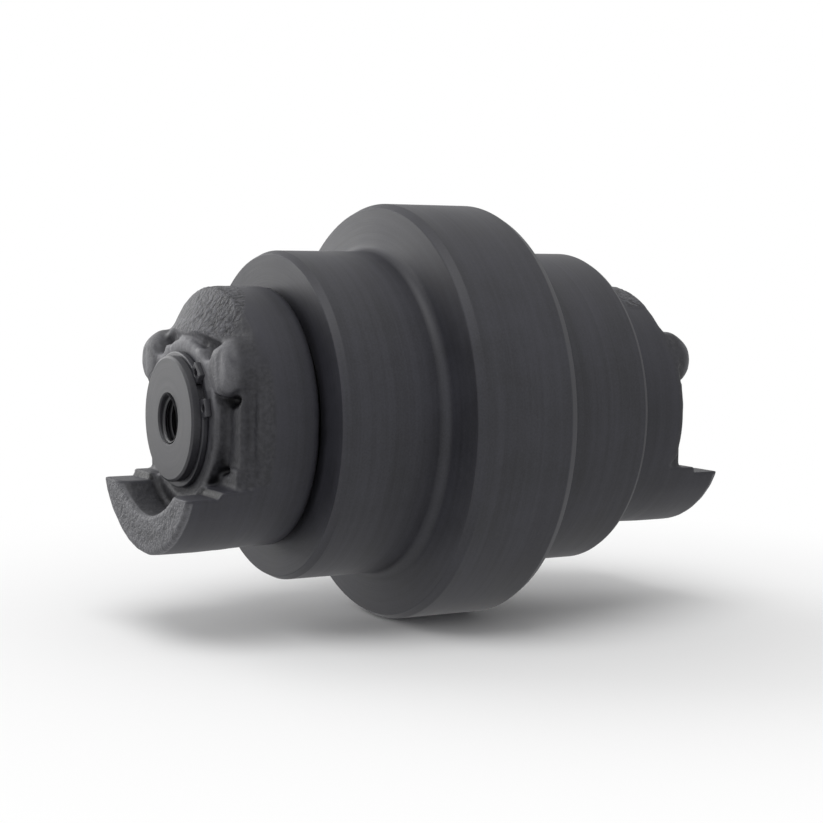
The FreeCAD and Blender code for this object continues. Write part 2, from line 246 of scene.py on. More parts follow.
@dataclass(frozen=True)
class Place:
    """The coordinates of the point being shaded."""

    x: Wire
    y: Wire
    z: Wire

    def point(self) -> Wire:
        """The point as a vector."""
        return self.x.shader.vector(self.x, self.y, self.z)

    def radius(self) -> Wire:
        """Distance from the shaft's axis."""
        return (self.x * self.x + self.z * self.z) ** 0.5

    def turned(self, drift: float = 0.02) -> Wire:
        """A vector that hardly changes round the axis, so that noise on it makes rings.

        Args:
            drift: how much of the place round the axis is kept.

        Returns:
            The vector.
        """
        return self.x.shader.vector(self.radius(), self.y, (self.x + self.z) * drift)


@dataclass(frozen=True)
class TurnedCoat:
    """Thin near-black coating over turned steel."""

    name: str
    dark: Colour = (0.008, 0.008, 0.011)
    light: Colour = (0.032, 0.032, 0.041)
    roughness: float = 0.54
    groove: float = 0.040
    gloss: float = 0.42
    fine_waves: float = 2600.0
    broad_waves: float = 420.0
    cloud_waves: float = 60.0
    dust_waves: float = 1700.0
    mottle: Span = (0.25, 0.75)

    def layers(self, shader: Shader) -> tuple[Wire, Wire, Wire]:
        """Build the coat's colour, roughness and height.

        Args:
            shader: the tree that they are added to.

        Returns:
            The colour, the roughness and the relief's height from 0 to 1.
        """
        place = shader.place()
        rings = place.turned()
        fine = shader.noise(rings, self.fine_waves)
        broad = shader.noise(rings, self.broad_waves, 3.0)
        cloud = shader.noise(place.point(), self.cloud_waves, 4.0)
        dust = shader.noise(place.point(), self.dust_waves, roughness=0.5)
        share = shader.ramp(broad * 0.35 + cloud * 0.4 + dust * 0.25, *self.mottle)
        colour = shader.tint(share, self.dark, self.light)
        rough = fine * 0.10 + cloud * 0.14 + dust * 0.06 + (self.roughness - 0.15)
        height = fine * 0.55 + broad * 0.45
        return colour, rough, height

    def make(self) -> bpy.types.Material:
        """Build the material.

        Returns:
            The material.
        """
        shader = Shader.material(self.name)
        colour, rough, height = self.layers(shader)
        normal = shader.bump(height, self.groove)
        return shader.finish({
            "Base Color": colour,
            "Roughness": rough,
            "Specular IOR Level": self.gloss,
            "Normal": normal,
        })


@dataclass(frozen=True)
class CastCoat:
    """The same coating over a sand casting, smooth where its bell is turned."""

    name: str
    turned_mask: str
    crown_mask: str
    shade_and_highlight_mask: str
    turned: TurnedCoat
    # Painted shade: the near-black colour that hollows and creases are darkened to
    hollow: Colour = (0.002, 0.002, 0.003)
    dark: Colour = (0.015, 0.015, 0.018)
    light: Colour = (0.078, 0.078, 0.088)
    # Painted highlight: the pale colour that the outermost edges are lightened to
    edge_highlight: Colour = (0.160, 0.160, 0.172)
    roughness: float = 0.50
    gloss: float = 0.32
    grain: float = 1.3
    relief_mean: float = 0.64
    sand_waves: float = 1500.0
    grain_waves: float = 760.0
    pit_waves: float = 850.0
    lump_waves: float = 320.0
    mottle: Span = (0.50, 0.80)
    plain_mottle: float = 0.24
    plain_lift: float = 0.09
    plain_grain: float = 0.2
    # Where the painted shade and the painted highlight start and are complete, along the mask
    shadowed: Span = (0.0, 0.32)
    highlight_span: Span = (0.5, 0.9)

    def make(self) -> bpy.types.Material:
        """Build the material.

        Returns:
            The material.
        """
        shader = Shader.material(self.name)
        turned_colour, turned_rough, turned_height = self.turned.layers(shader)
        place = shader.place()
        point = place.point()
        sand = shader.noise(point, self.sand_waves)
        grains = shader.noise(point, self.grain_waves)
        pits = shader.specks(point, self.pit_waves)
        lumps = shader.noise(point, self.lump_waves, 3.0)
        relief = sand * 0.2 + grains * 0.7 + pits * 0.2 + lumps * 0.2
        turned = shader.mask(self.turned_mask)
        crown = shader.mask(self.crown_mask)
        # Mask of painted light: low in hollows for painted shade, high on outer edges for a painted
        # highlight
        proud = shader.mask(self.shade_and_highlight_mask)
        contrast = crown * (1.0 - self.plain_mottle) + self.plain_mottle
        share = shader.ramp(relief, *self.mottle) * contrast + (1.0 - crown) * self.plain_lift
        colour = shader.tint(share, self.dark, self.light)
        # Painted shade: hollows and creases darkened towards the near-black colour
        colour = shader.tint(shader.ramp(proud, *self.shadowed), self.hollow, colour)
        # Painted highlight: outer edges lightened, less on the crown, broken by the sand noise
        highlight = shader.ramp(proud, *self.highlight_span) * (1.0 - crown * 0.7) * (sand * 0.6 + 0.4)
        colour = shader.tint(highlight, colour, self.edge_highlight)
        rough = turned_rough * turned + (grains * 0.2 + self.roughness - 0.05) * (1.0 - turned)
        smooth = shader.bump(turned_height * turned, self.turned.groove)
        coarse = crown * (1.0 - self.plain_grain) + self.plain_grain
        cast = (relief - self.relief_mean) * (1.0 - turned) * coarse
        normal = shader.bump(cast, self.grain, smooth)
        return shader.finish({
            "Base Color": shader.tint(turned, colour, turned_colour),
            "Roughness": rough,
            "Specular IOR Level": self.gloss,
            "Normal": normal,
        })


@dataclass(frozen=True)
class BareMetal:
    """Turned metal with no coating, such as a bush or a seal ring."""

    name: str
    dark: Colour
    light: Colour
    roughness: float = 0.3
    groove: float = 0.004
    fine_waves: float = 2800.0
    cloud_waves: float = 90.0

    def make(self) -> bpy.types.Material:
        """Build the material.

        Returns:
            The material.
        """
        shader = Shader.material(self.name)
        place = shader.place()
        fine = shader.noise(place.turned(), self.fine_waves)
        cloud = shader.noise(place.point(), self.cloud_waves, 4.0)
        return shader.finish({
            "Base Color": shader.tint(fine * 0.4 + cloud * 0.6, self.dark, self.light),
            "Roughness": cloud * 0.2 + (self.roughness - 0.1),
            "Metallic": 1.0,
            "Normal": shader.bump(fine, self.groove),
        })


@dataclass(frozen=True)
class Rubber:
    """Matt black rubber."""

    name: str
    dark: Colour = (0.012, 0.012, 0.012)
    light: Colour = (0.028, 0.028, 0.028)
    grain_waves: float = 1500.0
    grain_deep: float = 0.02

    def make(self) -> bpy.types.Material:
        """Build the material.

        Returns:
            The material.
        """
        shader = Shader.material(self.name)
        grain = shader.noise(shader.place().point(), self.grain_waves, 3.0)
        return shader.finish({
            "Base Color": shader.tint(grain, self.dark, self.light),
            "Roughness": grain * 0.2 + 0.6,
            "Normal": shader.bump(grain, self.grain_deep),
        })


@dataclass(frozen=True)
class Spots:
    """Points in millimetres: across, out along the shaft and up."""

    x: np.ndarray
    out: np.ndarray
    z: np.ndarray

    @cached_property
    def r(self) -> np.ndarray:
        """Distance from the shaft's axis."""
        return np.hypot(self.x, self.z)

    @cached_property
    def side(self) -> np.ndarray:
        """Distance across, to either side."""
        return np.abs(self.x)


@dataclass(frozen=True)
class Steps:
    """Sample points of a block in millimetres, each axis with its own steps."""

    across: np.ndarray
    out: np.ndarray
    up: np.ndarray

    @staticmethod
    def line(start: float, end: float, step: float) -> np.ndarray:
        """Evenly spaced points from start to about end."""
        return np.arange(start, end + step, step, dtype=np.float32)

    def spots(self) -> Spots:
        """All the points of the block, with coordinates that fill it together."""
        return Spots(self.across[:, None, None], self.out[None, :, None], self.up[None, None, :])

    def waves(self, length: float, seed: int) -> np.ndarray:
        """Smooth random waves over the block.

        Args:
            length: their wavelength in millimetres.
            seed: the random generator's seed.

        Returns:
            Values of about -1 to 1 at every sample point.
        """
        axes = (self.across, self.out, self.up)
        shares = []
        for axis in axes:
            knots = int((axis[-1] - axis[0]) / length) + 2
            position = (axis - axis[0]) / length
            low = np.clip(np.floor(position).astype(int), 0, knots - 2)
            part = position - low
            part = part * part * (3.0 - 2.0 * part)
            share = np.zeros((len(axis), knots), np.float32)
            share[np.arange(len(axis)), low] = 1.0 - part
            share[np.arange(len(axis)), low + 1] = part
            shares.append(share)
        lattice = np.random.default_rng(seed).uniform(-1.0, 1.0, [s.shape[1] for s in shares])
        return np.einsum("ia,jb,kc,abc->ijk", *shares, lattice.astype(np.float32), optimize=True)


def joined(first: np.ndarray, second: np.ndarray, fillet: float | np.ndarray) -> np.ndarray:
    """Both of two forms as one, given as distances, with a fillet where they meet."""
    reach = np.hypot(np.maximum(fillet - first, 0.0), np.maximum(fillet - second, 0.0))
    return np.maximum(fillet, np.minimum(first, second)) - reach


def trimmed(first: np.ndarray, second: np.ndarray, edge: float | np.ndarray) -> np.ndarray:
    """What two forms share, with a rounded edge where they cross."""
    return -joined(-first, -second, edge)


def carved(first: np.ndarray, second: np.ndarray, edge: float | np.ndarray) -> np.ndarray:
    """The first form less the second, with a rounded edge."""
    return trimmed(first, -second, edge)


def smooth_step(value: np.ndarray, low: float, high: float) -> np.ndarray:
    """0 below low and 1 above high, with a smooth rise between."""
    share = np.clip((value - low) / (high - low), 0.0, 1.0)
    return share * share * (3.0 - 2.0 * share)


def polar(radius: float, degrees: float) -> tuple[float, float]:
    """The point at a radius and an angle from the shaft's axis."""
    angle = math.radians(degrees)
    return radius * math.cos(angle), radius * math.sin(angle)


def circle_through(points: Corners) -> tuple[float, float, float]:
    """Find the circle through three points.

    Args:
        points: the three points.

    Returns:
        Its centre and radius.
    """
    rows = np.array([[2 * x, 2 * z, 1.0] for x, z in points])
    squares = np.array([x * x + z * z for x, z in points])
    x, z, rest = np.linalg.solve(rows, squares)
    return x, z, math.sqrt(rest + x * x + z * z)


@dataclass
class Skin:
    """A formed surface as (across, out, up) points, their normals and four-sided faces."""

    points: np.ndarray
    normals: np.ndarray
    quads: np.ndarray

    def at(self, end: End, name: str) -> bpy.types.Mesh:
        """The mesh of this surface at one end of the roller.

        Args:
            end: the end, whose side the distance out is measured to.
            name: the mesh's name.

        Returns:
            The mesh, shaded by the form's own normals.
        """
        mirror = np.array([1.0, end.value, 1.0])
        quads = self.quads if end is End.FAR else self.quads[:, ::-1]
        mesh = Mesher.mesh(name, self.points * mirror, quads.tolist())
        mesh.normals_split_custom_set_from_vertices((self.normals * mirror).tolist())
        return mesh


class Mesher:
    """Makes Blender meshes in the part's own frame from millimetre shapes."""

    # How much of a profile's edge one rounded corner may take
    EDGE_SHARE = 0.48

    @staticmethod
    def mesh(name: str, points: np.ndarray, faces: list) -> bpy.types.Mesh:
        """Make a smooth-shaded mesh.

        Args:
            name: its name.
            points: its points in millimetres.
            faces: each face's points by number.

        Returns:
            The mesh.
        """
        mesh = bpy.data.meshes.new(name)
        mesh.from_pydata((np.asarray(points) * MM).tolist(), [], faces)
        mesh.validate()
        mesh.shade_smooth()
        return mesh

    @staticmethod
    def skin(steps: Steps, form: np.ndarray) -> Skin:
        """The surface of a form sampled on a block.

        Each cell that the surface crosses gets one point, at the middle of its crossings, and
        each crossed edge joins the four cells round it.

        Args:
            steps: the block's sample points.
            form: the distance from the form's surface at each, below 0 inside.

        Returns:
            The surface.
        """
        axes = (steps.across, steps.out, steps.up)
        inside = form < 0.0
        cells = np.array(form.shape) - 1
        quads, places = [], []
        for axis in range(3):
            low = tuple(slice(None, -1) if d == axis else slice(1, -1) for d in range(3))
            high = tuple(slice(1, None) if d == axis else slice(1, -1) for d in range(3))
            crossed = inside[low] != inside[high]
            index = np.argwhere(crossed) + [0 if d == axis else 1 for d in range(3)]
            before = form[low][crossed]
            share = before / (before - form[high][crossed])
            place = np.stack([axes[d][index[:, d]] for d in range(3)], 1)
            place[:, axis] += share * (axes[axis][index[:, axis] + 1] - place[:, axis])
            second, third = (axis + 1) % 3, (axis + 2) % 3
            corners = []
            for back, down in ((1, 1), (0, 1), (0, 0), (1, 0)):
                cell = index.copy()
                cell[:, second] -= back
                cell[:, third] -= down
                corners.append(np.ravel_multi_index(cell.T, cells))
            quad = np.stack(corners, 1)
            leaving = inside[low][crossed]
            quad[~leaving] = quad[~leaving][:, ::-1]
            quads.append(quad)
            places.append(np.repeat(place[:, None, :], 4, 1))
        quad = np.concatenate(quads)
        place = np.concatenate([p.reshape(-1, 3) for p in places])
        _, vertex = np.unique(quad.ravel(), return_inverse=True)
        count = np.bincount(vertex)
        points = np.stack([np.bincount(vertex, place[:, d]) / count for d in range(3)], 1)
        slopes = np.gradient(form, *axes)
        normals = np.stack([Mesher.read(axes, slope, points) for slope in slopes], 1)
        normals /= np.linalg.norm(normals, axis=1, keepdims=True)
        return Skin(points, normals, vertex.reshape(quad.shape))

    @staticmethod
    def read(axes: tuple[np.ndarray, ...], values: np.ndarray, points: np.ndarray) -> np.ndarray:
        """Values sampled on a block, read between the samples.

        Args:
            axes: the sample points along each axis.
            values: the values at them.
            points: the places to read.

        Returns:
            One value for each place.
        """
        lows, parts = [], []
        for d, axis in enumerate(axes):
            low = np.clip(np.searchsorted(axis, points[:, d]) - 1, 0, len(axis) - 2)
            lows.append(low)
            parts.append((points[:, d] - axis[low]) / (axis[low + 1] - axis[low]))
        total = np.zeros(len(points))
        for corner in np.ndindex(2, 2, 2):
            share = np.prod([part if c else 1.0 - part for c, part in zip(corner, parts)], axis=0)
            total += share * values[tuple(low + c for low, c in zip(lows, corner))]
        return total

    @staticmethod
    def turned(name: str, profile: Profile, segments: int) -> bpy.types.Mesh:
        """A mesh turned about the Y axis.

        Args:
            name: the mesh's name.
            profile: a closed line of (out, radius) points; a radius of 0 lies on the axis.
            segments: how many steps the turn has.

        Returns:
            The mesh, with its faces turned outwards.
        """
        angles = np.arange(segments) * 2.0 * math.pi / segments
        out = np.array([p[0] for p in profile])
        radius = np.array([p[1] for p in profile])
        x = radius[:, None] * np.cos(angles)[None, :]
        z = radius[:, None] * np.sin(angles)[None, :]
        y = np.repeat(out[:, None], segments, 1)
        points = np.stack([x, y, z], 2).reshape(-1, 3)
        size = len(profile)
        area = sum(out[i] * radius[(i + 1) % size] - out[(i + 1) % size] * radius[i] for i in range(size))
        faces = []
        for i in range(size):
            j = (i + 1) % size
            if radius[i] == 0.0 and radius[j] == 0.0:
                continue
            for k in range(segments):
                m = (k + 1) % segments
                face = [i * segments + k, i * segments + m, j * segments + m, j * segments + k]
                faces.append(face if area < 0.0 else face[::-1])
        return Mesher.mesh(name, points, faces)

    @staticmethod
    def rounded(corners: list[tuple[float, float, float]], steps: int = 5) -> Profile:
        """A closed profile with each corner rounded.

        Args:
            corners: (out, radius, rounding) of each corner; a rounding of 0 keeps it sharp.
            steps: points along each rounded corner.

        Returns:
            The points of the profile.
        """
        points = []
        for i, (out, radius, rounding) in enumerate(corners):
            here = np.array([out, radius])
            if rounding <= 0.0:
                points.append((out, radius))
                continue
            before = np.array(corners[i - 1][:2]) - here
            after = np.array(corners[(i + 1) % len(corners)][:2]) - here
            before_length, after_length = np.linalg.norm(before), np.linalg.norm(after)
            before, after = before / before_length, after / after_length
            half = 0.5 * math.acos(float(np.clip(before @ after, -1.0, 1.0)))
            longest = Mesher.EDGE_SHARE * min(before_length, after_length)
            tangent = min(rounding / math.tan(half), longest)
            rounding = tangent * math.tan(half)
            bisector = (before + after) / np.linalg.norm(before + after)
            centre = here + bisector * rounding / math.sin(half)
            start = here + before * tangent - centre
            end = here + after * tangent - centre
            sweep = math.pi - 2.0 * half
            for k in range(steps + 1):
                share = k / steps
                blend = math.sin((1.0 - share) * sweep) * start + math.sin(share * sweep) * end
                points.append(tuple(centre + blend / math.sin(sweep)))
        return points

    @staticmethod
    def show(mesh: bpy.types.Mesh, material: bpy.types.Material, body: str, slot: str,
             stands_for: str | None = None) -> bpy.types.Object:
        """Put a mesh in the scene as one piece.

        Args:
            mesh: the piece's mesh.
            material: its finish.
            body: the CAD body that it rides on.
            slot: a material slot's name; not used.
            stands_for: the CAD node that it replaces.

        Returns:
            The piece.
        """
        piece = bpy.data.objects.new(mesh.name, mesh)
        bpy.context.scene.collection.objects.link(piece)
        mesh.materials.append(material)
        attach(piece, body)
        if stands_for:
            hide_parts(stands_for)
        log.info("%s: %d faces", piece.name, len(mesh.polygons))
        return piece

    @staticmethod
    def weighted(piece: bpy.types.Object) -> None:
        """Keep a piece's flat faces flat beside their rounded edges."""
        piece.modifiers.new("flat_faces", "WEIGHTED_NORMAL").keep_sharp = True


@dataclass
class RollerShell:
    """The turned shell with its flange and treads, in millimetres from the middle."""

    tread_r: float = 48.2
    tread_fillet: float = 3.2
    flange_r: float = 62.5
    flange_land: float = 13.9
    flange_corner: float = 16.35
    flange_corner_r: float = 61.2
    flange_foot: float = 18.5
    end: float = 50.85
    near_chamfer: float = 2.1
    far_chamfer: float = 1.2
    chamfer_slope: float = 0.5
    housing_mouth_r: float = 33.6
    housing_floor: float = 43.1
    housing_floor_r: float = 31.9
    seat: float = 42.0
    seat_r: float = 25.0
    bore_r: float = 20.5
    chamber: float = 20.0
    chamber_r: float = 23.5
    chamber_taper: float = 1.5
    flange_round: float = 1.2
    flange_edge: float = 0.6
    tread_edge: float = 0.5
    end_edge: float = 0.35
    mouth_edge: float = 0.4
    floor_round: float = 1.0
    edge: float = 0.2
    segments: int = 360

    def corners(self, chamfer: float) -> list[tuple[float, float, float]]:
        """One half's corners with their rounding, from the flange's middle inwards.

        Args:
            chamfer: how long the chamfer at the tread's end is.

        Returns:
            (out, radius, rounding) of each corner.
        """
        return [
            (self.flange_land, self.flange_r, self.flange_round),
            (self.flange_corner, self.flange_corner_r, self.flange_edge),
            (self.flange_foot, self.tread_r, self.tread_fillet),
            (self.end - chamfer, self.tread_r, self.tread_edge),
            (self.end, self.tread_r - chamfer * self.chamfer_slope, self.end_edge),
            (self.end, self.housing_mouth_r, self.mouth_edge),
            (self.housing_floor, self.housing_floor_r, self.floor_round),
            (self.housing_floor, self.seat_r, self.edge),
            (self.seat, self.seat_r, self.edge),
            (self.seat, self.bore_r, self.edge),
            (self.chamber, self.bore_r, self.edge),
            (self.chamber - self.chamber_taper, self.chamber_r, self.edge),
        ]

    def build(self, finish: bpy.types.Material) -> None:
        """Turn the shell and show it.

        Args:
            finish: its material.
        """
        half = self.corners(self.far_chamfer)
        other = [(-out, *rest) for out, *rest in self.corners(self.near_chamfer)[::-1]]
        mesh = Mesher.turned("roller_shell_turned", Mesher.rounded(half + other), self.segments)
        piece = Mesher.show(mesh, finish, "roller", "machined_steel", "roller_shell")
        Mesher.weighted(piece)


@dataclass
class Shaft:
    """The through shaft and the ridges of its two threads, in millimetres."""

    radius: float = 18.0
    end: float = 82.7
    chamfer_long: float = 0.5
    chamfer_deep: float = 0.7
    ring_start: float = 78.2
    ring_end: float = 80.05
    ring_r: float = 17.0
    seal_start: float = 62.3
    seal_end: float = 65.7
    seal_r: float = 15.6
    thread_r: float = 7.0
    thread_chamfer: float = 0.6
    thread_end: float = 50.7
    drill_end: float = 47.7
    plug_r: float = 3.2
    plug_floor: float = 42.7
    way_r: float = 2.0
    pitch: float = 2.0
    crest_r: float = 6.0
    crest_half: float = 0.22
    root_half: float = 0.86
    ridge_start: float = 0.2
    ridge_sink: float = 0.04
    ridge_least: float = 0.01
    ridge_steps: int = 64
    edge: float = 0.2
    shoulder_edge: float = 0.15
    ring_edge: float = 0.1
    end_round: float = 0.25
    mouth_edge: float = 0.12
    round_steps: int = 3
    segments: int = 240

    def outside(self) -> list[tuple[float, float, float]]:
        """List the far half's corners, from the middle to the thread's bottom.

        Returns:
            (out, radius, rounding) of each.
        """
        return [
            (self.seal_start, self.radius, self.shoulder_edge),
            (self.seal_start, self.seal_r, self.edge),
            (self.seal_end, self.seal_r, self.edge),
            (self.seal_end, self.radius, self.shoulder_edge),
            (self.ring_start, self.radius, self.ring_edge),
            (self.ring_start, self.ring_r, self.ring_edge),
            (self.ring_end, self.ring_r, self.ring_edge),
            (self.ring_end, self.radius, self.shoulder_edge),
            (self.end - self.chamfer_long, self.radius, self.edge),
            (self.end, self.radius - self.chamfer_deep, self.end_round),
            (self.end, self.thread_r + self.thread_chamfer, self.mouth_edge),
            (self.end - self.thread_chamfer, self.thread_r, 0.0),
            (self.thread_end, self.thread_r, self.edge),
        ]

    def build(self, finish: bpy.types.Material, thread: bpy.types.Material) -> None:
        """Turn the shaft, cut its threads and show them.

        Args:
            finish: the shaft's material.
            thread: the threads' material.
        """
        half = self.outside()
        other = [(-out, radius, rounding) for out, radius, rounding in half[::-1]]
        drilled = (self.thread_end - self.drill_end) * self.plug_r / self.thread_r
        inside = [
            (self.drill_end + drilled, self.plug_r, 0.0),
            (self.plug_floor, self.plug_r, 0.0),
            (self.plug_floor, self.way_r, 0.0),
            (-self.way_r, self.way_r, 0.0),
            (-self.way_r, 0.0, 0.0),
            (-self.drill_end, 0.0, 0.0),
        ]
        profile = Mesher.rounded(half + inside + other, self.round_steps)
        mesh = Mesher.turned("shaft_turned", profile, self.segments)
        piece = Mesher.show(mesh, finish, "mounting", "machined_steel", "shaft")
        Mesher.weighted(piece)
        for end in End:
            ridges = self.ridges(end)
            Mesher.weighted(Mesher.show(ridges, thread, "mounting", "machined_steel"))

    def ridges(self, end: End) -> bpy.types.Mesh:
        """Wind the right-hand ridge down one threaded hole.

        Args:
            end: the hole's end of the shaft.

        Returns:
            The ridge's mesh.
        """
        steps = self.ridge_steps
        turns = int((self.end - self.thread_chamfer - self.thread_end) / self.pitch) - 1
        points, faces = [], []
        for i in range(turns * steps + 1):
            angle = 2.0 * math.pi * i / steps
            out = self.end - self.ridge_start - self.pitch * i / steps
            crest = max(self.crest_r, self.thread_r + self.thread_chamfer - (self.end - out))
            fade = smooth_step(np.float64(turns * steps - i), 0.0, steps)
            crest = self.thread_r - (self.thread_r - crest) * fade
            crest = min(self.thread_r + self.ridge_least, crest)
            share = (self.thread_r - crest) / (self.thread_r - self.crest_r)
            crest_half = self.root_half + (self.crest_half - self.root_half) * max(share, 0.0)
            wall = self.thread_r + self.ridge_sink
            for radius, reach in ((wall, -self.root_half), (crest, -crest_half),
                                  (crest, crest_half), (wall, self.root_half)):
                turn = -angle * end.value
                points.append((radius * math.sin(turn), end.value * (out + reach), radius * math.cos(turn)))
            if i:
                for k in range(4):
                    a, b = 4 * i + k, 4 * i + (k + 1) % 4
                    face = [a, b, b - 4, a - 4]
                    faces.append(face if end is End.FAR else face[::-1])
        last = len(points) - 4
        faces += [[3, 2, 1, 0], [last, last + 1, last + 2, last + 3]]
        return Mesher.mesh(end.label + "_thread_ridge", np.array(points), faces)


@dataclass
class RetainingRing:
    """A stamped spring ring with two pierced lugs, in millimetres."""

    start: float = 78.25
    face: float = 80.0
    inner_r: float = 17.02
    outer_r: float = 19.5
    offset: float = 0.7
    gap_angle: float = 29.1
    gap_half: float = 2.6
    lug_spread: float = 16.4
    lug_half: float = 2.6
    lug_r: float = 21.2
    hole_r: float = 1.1
    hole_at: float = 19.4
    lug_round: float = 0.3
    lug_fillet: float = 0.8
    lug_overlap: float = 1.0
    slot_round: float = 0.6
    sharp: float = 0.01
    edge: float = 0.28
    step: float = 0.21
    step_out: float = 0.8
    margin_out: float = 0.4
    margin_across: float = 1.0

    def form(self, steps: Steps) -> np.ndarray:
        """Form the ring.

        Args:
            steps: the block's sample points.

        Returns:
            The distance from the ring's surface.
        """
        at = steps.spots()
        centre_x, centre_z = polar(-self.offset, self.gap_angle)
        rim = np.hypot(at.x - centre_x, at.z - centre_z) - self.outer_r
        cut = self.inner_r - at.r
        for side in (-1, 1):
            way_x, way_z = polar(1.0, self.gap_angle + side * self.lug_spread)
            along = at.x * way_x + at.z * way_z
            across = at.z * way_x - at.x * way_z
            lug = trimmed(np.abs(across) - self.lug_half, along - self.lug_r, self.lug_round)
            lug = trimmed(lug, self.inner_r - self.lug_overlap - along, self.sharp)
            rim = joined(rim, lug, self.lug_fillet)
            hole = self.hole_r - np.hypot(along - self.hole_at, across)
            cut = np.maximum(cut, hole)
        way_x, way_z = polar(1.0, self.gap_angle)
        beside = np.abs(at.z * way_x - at.x * way_z) - self.gap_half
        slot = trimmed(beside, -(at.x * way_x + at.z * way_z), self.sharp)
        plate = trimmed(np.maximum(rim, cut), -slot, self.slot_round)
        return trimmed(plate, np.maximum(at.out - self.face, self.start - at.out), self.edge)

    def build(self, finish: bpy.types.Material) -> None:
        """Form the ring once and show it at both ends.

        Args:
            finish: its material.
        """
        reach = self.lug_r + self.margin_across
        across = Steps.line(-reach, reach, self.step)
        start, stop = self.start - self.margin_out, self.face + self.margin_out
        out = Steps.line(start, stop, self.step * self.step_out)
        steps = Steps(across, out, across)
        skin = Mesher.skin(steps, self.form(steps))
        for end in End:
            mesh = skin.at(end, end.label + "_retaining_ring_formed")
            Mesher.show(mesh, finish, "mounting", "ring_steel", end.label + "_retaining_ring")


@dataclass(frozen=True)
class Hollow:
    """A soft hollow like the end of an egg, by its middle and half sizes in millimetres."""

    across: float
    out: float
    up: float
    half_across: float
    half_out: float
    half_up: float
    edge: float = 1.3

    def distance(self, at: Spots) -> np.ndarray:
        """Form the hollow.

        Args:
            at: the sample points.

        Returns:
            The distance from it, by its thickness upwards.
        """
        level = ((at.side - self.across) / self.half_across) ** 2
        level = level + ((at.out - self.out) / self.half_out) ** 2
        upright = ((at.z - self.up) / self.half_up) ** 2
        return (np.sqrt(level + upright) - 1.0) * self.half_up


